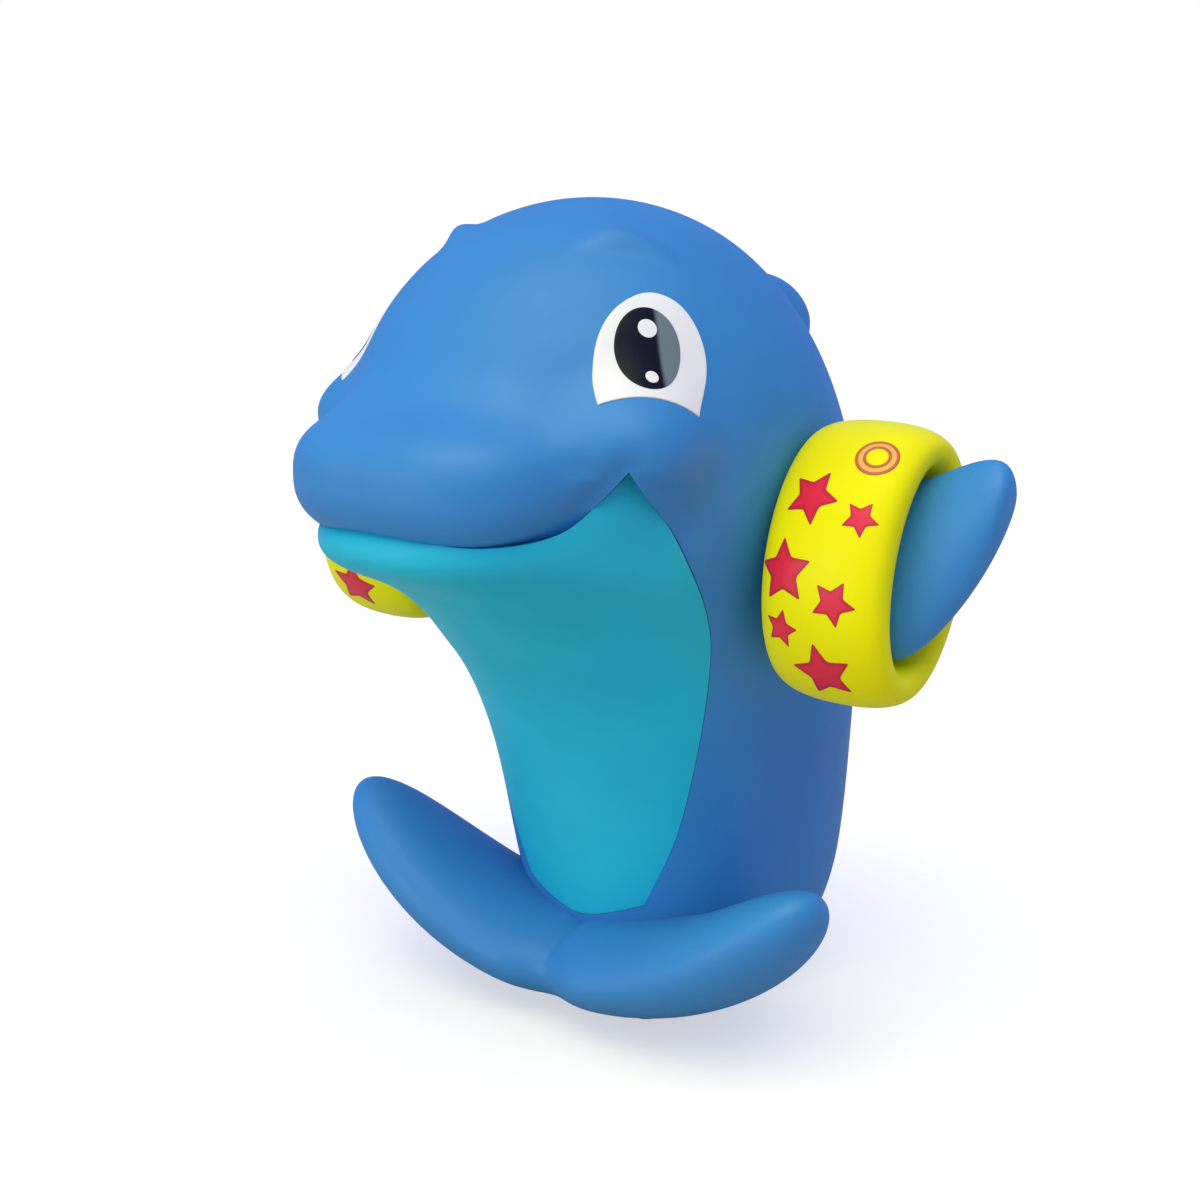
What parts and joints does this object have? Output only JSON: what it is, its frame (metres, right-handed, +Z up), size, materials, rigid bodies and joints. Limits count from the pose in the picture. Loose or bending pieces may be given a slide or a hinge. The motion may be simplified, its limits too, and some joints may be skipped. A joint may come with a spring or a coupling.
{
  "type": "dolphin bath toy",
  "caption": "Soft-vinyl dolphin bath toy sitting on its curled tail, with a pale belly panel, inlaid eyes and swivelling flippers in puffed armbands.",
  "frame": {"origin": "on the flat resting face, in the middle plane, under the trunk", "axes": "+Z up, the dolphin faces -Y, and its own left side is +X"},
  "size_m": [0.1318, 0.1125, 0.1305],
  "materials": {
    "blue_vinyl": "satin, as rotocast",
    "turquoise_vinyl": "satin, as rotocast",
    "yellow_vinyl": "soft gloss, printed with stars",
    "nylon": "natural moulded",
    "eye_white": "smooth",
    "pupil_black": "gloss",
    "pale_vinyl": "satin moulded",
    "plated_steel": "zinc plated"
  },
  "bodies": {
    "body": {"body_shell": "blue_vinyl", "belly_panel": "turquoise_vinyl", "tail_flukes": "blue_vinyl", "eye_white_left": "eye_white", "eye_white_right": "eye_white", "pupil_left": "pupil_black", "pupil_right": "pupil_black", "base_plug": "pale_vinyl", "ballast_weight": "plated_steel"},
    "left_flipper": {"flipper_left": "blue_vinyl", "armband_left": "yellow_vinyl", "flipper_retainer_left": "nylon"},
    "right_flipper": {"flipper_right": "blue_vinyl", "armband_right": "yellow_vinyl", "flipper_retainer_right": "nylon"}
  },
  "joints": [
    {"name": "flipper_left_swivel", "type": "hinge", "parent": "body", "child": "left_flipper", "pos_m": [0.036, -0.018, 0.079], "axis": [1, 0, 0], "continuous": true},
    {"name": "flipper_right_swivel", "type": "hinge", "parent": "body", "child": "right_flipper", "pos_m": [-0.036, -0.018, 0.079], "axis": [-1, 0, 0], "continuous": true}
  ]
}
